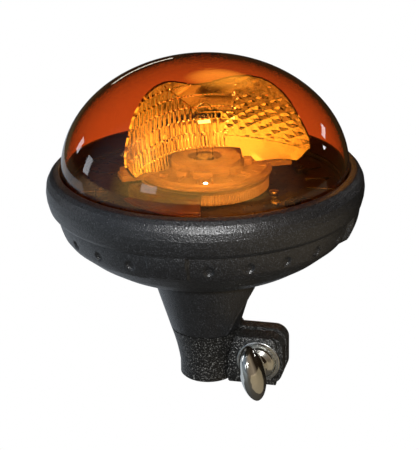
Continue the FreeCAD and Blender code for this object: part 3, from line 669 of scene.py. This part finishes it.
def makePlatform():
    mesh = turned(rounded([
        (14.08, 118.5), (17, 118.5), (17, 127), (37, 127, 0.3), (38, 127.6, 0.3), (38, 129.2, 0.3),
        (35.4, 129.4, 0.3), (35.0, 131, 0.4), (24.4, 131, 0.4), (24.0, 130, 0.2), (22.8, 130, 0.2),
        (20, 131.2, 0.6), (20, 135.4, 0.4), (18.0, 137, 1.2), (12.2, 137, 0.6), (9.6, 136.2, 0.5),
        (9.6, 135, 0.3), (17.4, 135), (17.4, 128), (14.08, 128),
    ]), 144)
    for side in (-1, 1):
        angle = rotor["beam"] + side * rotor["armAngle"]
        for size, centre, bevel in rotor["armBlocks"]:
            addBlock(mesh, size, centre, angle, bevel)
    for angle in rotor["blockAngles"]:
        addBlock(mesh, (4.6, 6.4, 4.2), (24.2, 0, 132.2), angle, 0.5)
        addBlock(mesh, (6.5, 1.4, 1.8), (29.5, 0, 131.4), angle + 4, 0.4)
    for angle in rotor["stubAngles"]:
        addBlock(mesh, (3, 4, 2.6), (31, 0, 131.6), angle, 0.4)
    for step in range(rotor["ribs"]):
        angle = step * 360 / rotor["ribs"] + rotor["ribTurn"]
        addBlock(mesh, (5.5, 0.9, 0.7), (32.5, 0, 131.1), angle, 0.25)
    makePiece("rotor_plate", mesh, "rotor_platform", naturalAcetal(), ("rotor_platform",))
    eased("ring_gear", naturalAcetal(), 0.05, segments=1, crease=60)
    eased("pinion", naturalAcetal(), 0.05, segments=1, crease=60)


def mirrorDish(side, up):
    # the parabola turned about the beam, with up measured from the focus
    return (side * side + up * up) / (4 * mirror["focal"]) - mirror["focal"]


def facetDepth(side, up):
    # flutes to the left and under the lamp, slanting pillows to the right, a smooth fan in the middle and a
    # plain band at the lower right
    level = up + mirror["focus"]
    if level < mirror["bottomBand"] and side > mirror["pillowFrom"]:
        return 0.0
    bands = (level - mirror["bandFoot"]) / mirror["bandRise"]
    row = bands % 1
    if level > mirror["fanFoot"] + mirror["fanSlope"] * max(-side, 0) and side < mirror["fanTo"]:
        return mirror["fanLedge"] * row
    ledge = mirror["ledge"] * row
    if side > mirror["pillowFrom"]:
        flat, steep = mirror["slant"]
        across = (side * flat + up * steep) / mirror["pillow"] % 1
        along = (up * flat - side * steep) / mirror["pillow"] % 1
        swell = mirror["pillowDeep"] * (1 - (2 * across - 1) ** 2) * (1 - (2 * along - 1) ** 2)
        return ledge * mirror["pillowLedge"] + swell
    width = mirror["lowFlute"] if level < mirror["bottomBand"] else mirror["flute"]
    flute = (side / width + mirror["fluteShift"] * math.floor(bands)) % 1
    return ledge + mirror["fluteDeep"] * (1 - (2 * flute - 1) ** 2)


def mirrorEdges(side):
    # the lower and upper outline of the dish, which clears the hub in its middle
    wide, half = abs(side), mirror["half"]
    low = mirror["foot"]
    for start, end, climb in mirror["footClimbs"]:
        low += climb * smoothStep(wide, start, end)
    if wide < mirror["hubHalf"]:
        low = mirror["hubClear"]
    high = mirror["shoulder"] + mirror["crown"] * (1 - (wide / half) ** mirror["crownCurve"])
    high -= mirror["dip"] * math.exp(-(side / mirror["dipHalf"]) ** 2)
    return low, high


def makeReflector():
    # a grid between the two outlines, bent to the dish with its facets, then given a wall
    mesh = bmesh.new()
    bmesh.ops.create_grid(mesh, x_segments=mirror["columns"], y_segments=mirror["rows"], size=1)
    for vert in mesh.verts:
        part = (vert.co.y + 1) / 2
        side = vert.co.x * mirror["half"]
        low, high = mirrorEdges(side)
        level = low + (max(high, low + mirror["leastTall"]) - low) * part
        up = level - mirror["focus"]
        vert.co = Vector((mirrorDish(side, up) + facetDepth(side, up), side, level)) * mm
    bmesh.ops.recalc_face_normals(mesh, faces=mesh.faces)
    if sum(face.normal.x for face in mesh.faces) < 0:
        bmesh.ops.reverse_faces(mesh, faces=mesh.faces)
    bmesh.ops.solidify(mesh, geom=mesh.faces[:], thickness=mirror["wall"] * mm)
    turnBy = Matrix.Rotation(math.radians(rotor["beam"]), 3, "Z")
    bmesh.ops.rotate(mesh, cent=(0, 0, 0), matrix=turnBy, verts=mesh.verts)
    makePiece("mirror_dish", mesh, "reflector", metallisedMirror(), ("reflector",), sharp=mirror["sharp"])


# lamp


def quartzGlass():
    # clear quartz tube, drawn: almost invisible but for its highlights, so its index is set low
    material, tree, shader = newMaterial(
        "quartz glass, drawn tube", "#fbfbf8", 0.01, Transmission_Weight=1.0, IOR=1.2,
    )
    detail(tree, shader, grain(tree, 6), height=0.02)
    letLampThrough(tree, shader, "#fafaf8")
    return material


def tungsten():
    # coiled tungsten wire, glowing warm
    material, tree, shader = newMaterial("tungsten filament", "#8c8478", 0.4, Metallic=1.0)
    detail(tree, shader, grain(tree, 1), ("#7a7268", "#9a9286"))
    shader.inputs["Emission Color"].default_value = linearColour("#ffd9a0")
    shader.inputs["Emission Strength"].default_value = lamp["glow"]
    return material


def nickelPlate():
    # dull nickel plating, on the brass cap and on the filament's legs
    material, tree, shader = newMaterial("nickel plated cap", "#c9c3b4", 0.28, Metallic=1.0)
    detail(tree, shader, grain(tree, 2), ("#b7b09e", "#d8d3c6"), height=0.02)
    return material


lamp = {
    "glass": 4.8, "wall": 0.45, "foot": 136.2, "shoulder": 162, "arcs": 12, "steps": 48,
    "focus": 156, "glow": 14, "coil": 0.9, "turns": 11, "turnSteps": 10, "stepAngle": 0.628, "coilLong": 7.2,
    "coilWire": 0.16, "coilTurn": -60, "legWire": 0.22, "legPath": ((3.9, 153.5), (2.4, 145), (1.8, 136.4)),
}


def tubeAlong(mesh, points, radius, sides):
    # a round wire through points given in millimetres
    path = [Vector(point) * mm for point in points]
    rings = []
    for index, point in enumerate(path):
        along = (path[min(index + 1, len(path) - 1)] - path[max(index - 1, 0)]).normalized()
        frameTurn = along.to_track_quat("Z", "X").to_matrix().to_4x4()
        ring = bmesh.ops.create_circle(
            mesh, cap_ends=index in (0, len(path) - 1), segments=sides, radius=radius * mm,
            matrix=Matrix.Translation(point) @ frameTurn,
        )["verts"]
        touching = {edge for vert in ring for edge in vert.link_edges}
        rings.append([edge for edge in touching if all(vert in ring for vert in edge.verts)])
    for first, second in zip(rings, rings[1:]):
        bmesh.ops.bridge_loops(mesh, edges=first + second)
    bmesh.ops.recalc_face_normals(mesh, faces=mesh.faces)


def makeLamp():
    # a tube with a round end, a lying coil in it and two legs down to the cap
    radius, wall = lamp["glass"], lamp["wall"]
    outer, inner = [], []
    for step in range(lamp["arcs"] + 1):
        angle = math.pi / 2 * step / lamp["arcs"]
        for side, reach in ((outer, radius), (inner, radius - wall)):
            side.append((reach * math.cos(angle), lamp["shoulder"] + reach * math.sin(angle)))
    outer[-1], inner[-1] = (0, outer[-1][1]), (0, inner[-1][1])
    outline = [(radius, lamp["foot"])] + outer + inner[::-1] + [(radius - wall, lamp["foot"])]
    mesh = turned(outline, lamp["steps"])
    makePiece("lamp_tube", mesh, "bulb_glass", quartzGlass(), ("bulb_glass",), sharp=60)
    coil = bmesh.new()
    steps = lamp["turns"] * lamp["turnSteps"]
    points = []
    for step in range(steps + 1):
        angle = lamp["stepAngle"] * step
        up = lamp["focus"] + lamp["coil"] * math.sin(angle)
        points.append((lamp["coil"] * math.cos(angle), (step / steps - 0.5) * lamp["coilLong"], up))
    tubeAlong(coil, points, lamp["coilWire"], 6)
    turnBy = Matrix.Rotation(math.radians(lamp["coilTurn"]), 3, "Z")
    bmesh.ops.rotate(coil, cent=(0, 0, 0), matrix=turnBy, verts=coil.verts)
    makePiece("filament", coil, "bulb_glass", tungsten())
    legs = bmesh.new()
    for side, start in ((-1, points[0]), (1, points[-1])):
        route = [start] + [(0, side * out, up) for out, up in lamp["legPath"]]
        tubeAlong(legs, route, lamp["legWire"], 8)
    bmesh.ops.rotate(legs, cent=(0, 0, 0), matrix=turnBy, verts=legs.verts)
    makePiece("filament_legs", legs, "bulb_glass", nickelPlate())
    eased("bulb_cap", nickelPlate(), 0.3)
    eased("bulb_clip", brightZinc(), 0.05)
    eased("lamp_holder", phenolic(), 0.4)


# chassis and hidden parts


def phenolic():
    # compression moulded phenolic: tan with a dark fleck
    material, tree, shader = newMaterial("phenolic, moulded", "#8d7f66", 0.5)
    detail(tree, shader, grain(tree, 1.2, detail=3.0), ("#6e624d", "#9a8b70"), height=0.08, span=(0.35, 0.6))
    return material


def blackAbs():
    # ABS moulding: near black with a low satin gloss and faint flow lines
    material, tree, shader = newMaterial("ABS, black, moulded", "#16110f", 0.34, IOR=1.54)
    detail(tree, shader, grain(tree, 20, detail=3.0, stretch=(1, 3, 1)), ("#0a0706", "#120d0b"))
    detail(tree, shader, grain(tree, 4), roughness=(0.26, 0.44))
    detail(tree, shader, grain(tree, 1.0), height=0.08)
    return material


def brownAbs():
    # ABS moulded in a dark warm brown
    material, tree, shader = newMaterial("ABS, brown, moulded", "#59402f", 0.36, IOR=1.54)
    detail(tree, shader, grain(tree, 10), ("#3c2418", "#563424"))
    detail(tree, shader, grain(tree, 0.9), height=0.08)
    return material


def sealRubber():
    # soft nitrile with a matt skin
    material, tree, shader = newMaterial("nitrile rubber, extruded", "#181818", 0.7)
    detail(tree, shader, grain(tree, 3), ("#141414", "#1e1e1e"))
    detail(tree, shader, grain(tree, 0.8), height=0.06)
    return material


def pvcJacket():
    # PVC drawn over wire: red, slightly glossy
    material, tree, shader = newMaterial("PVC insulation, drawn", "#8f1d18", 0.38)
    detail(tree, shader, grain(tree, 2, stretch=(1, 1, 0.2)), ("#7f1814", "#9c2620"), height=0.03)
    return material


def turnedMetal(name, dark, light, roughness):
    # a turned or sintered metal with a fine drawn grain
    material, tree, shader = newMaterial(name, light, roughness, Metallic=1.0)
    detail(tree, shader, grain(tree, 1.5, detail=3.0), (dark, light), (roughness - 0.08, roughness + 0.1))
    detail(tree, shader, grain(tree, 0.5), height=0.03)
    return material


chassis = {
    "ribs": 24, "ribGaps": (3, 12, 17), "ribTurn": 6,
    "posts": ((-20, 58), (35, 60), (96, 62), (150, 60), (205, 60), (-60, 62)),
}


def makeChassis():
    eased("chassis_plate", blackAbs(), 0.5)
    eased("gear_cover", brownAbs(), 0.35)
    eased("dome_seal", sealRubber(), 0.3)
    eased("chassis_screws", brightZinc(), 0.35)
    eased("head_leads", pvcJacket(), 0.1)
    ribs = bmesh.new()
    for step in range(chassis["ribs"]):
        if step not in chassis["ribGaps"]:
            angle = step * 360 / chassis["ribs"] + chassis["ribTurn"]
            addBlock(ribs, (16, 1.2, 1.1), (66, 0, 117.9), angle, 0.3)
    for angle, across in chassis["posts"]:
        addBlock(ribs, (7, 7, 3.4), (across, 0, 119), angle, 0.8)
        addBlock(ribs, (3, 3, 1.4), (across, 0, 121), angle, 0.5)
    makePiece("floor_ribs", ribs, "chassis_plate", blackAbs())


def paintHidden():
    # what cannot be seen while the beacon is whole still gets its own finish
    brass = turnedMetal("brass, turned", "#a8823c", "#c9a55a", 0.25)
    steel = turnedMetal("spring steel, drawn", "#8a8c8e", "#b0b2b4", 0.25)
    zinc = brightZinc()
    finishes = {
        "contact_pin": brass, "earth_ring": brass, "contact_terminal": brass,
        "motor_shaft": steel, "rotor_clip": zinc, "neck_flange": zinc, "neck_bolts": zinc,
        "motor_bracket": zinc, "motor_housing": zinc,
        "bearing_bush": turnedMetal("sintered bronze", "#7c5a34", "#a37c4c", 0.45),
        "contact_carrier": phenolic(), "terminal_block": phenolic(), "motor_cap": phenolic(),
        "suppressor": blackAbs(),
    }
    for node, material in finishes.items():
        eased(node, material, 0.12)
    eased("contact_spring", steel, 0.02, across=("root", "contact", 44, 36.2))


makeDome()
makeBoot()
makeNeck()
print("dome, boot and neck made")
makeClamp()
print("clamp and wing screw made")
makePlatform()
makeReflector()
makeLamp()
print("rotor and lamp made")
makeChassis()
paintHidden()
print("chassis and hidden parts finished")
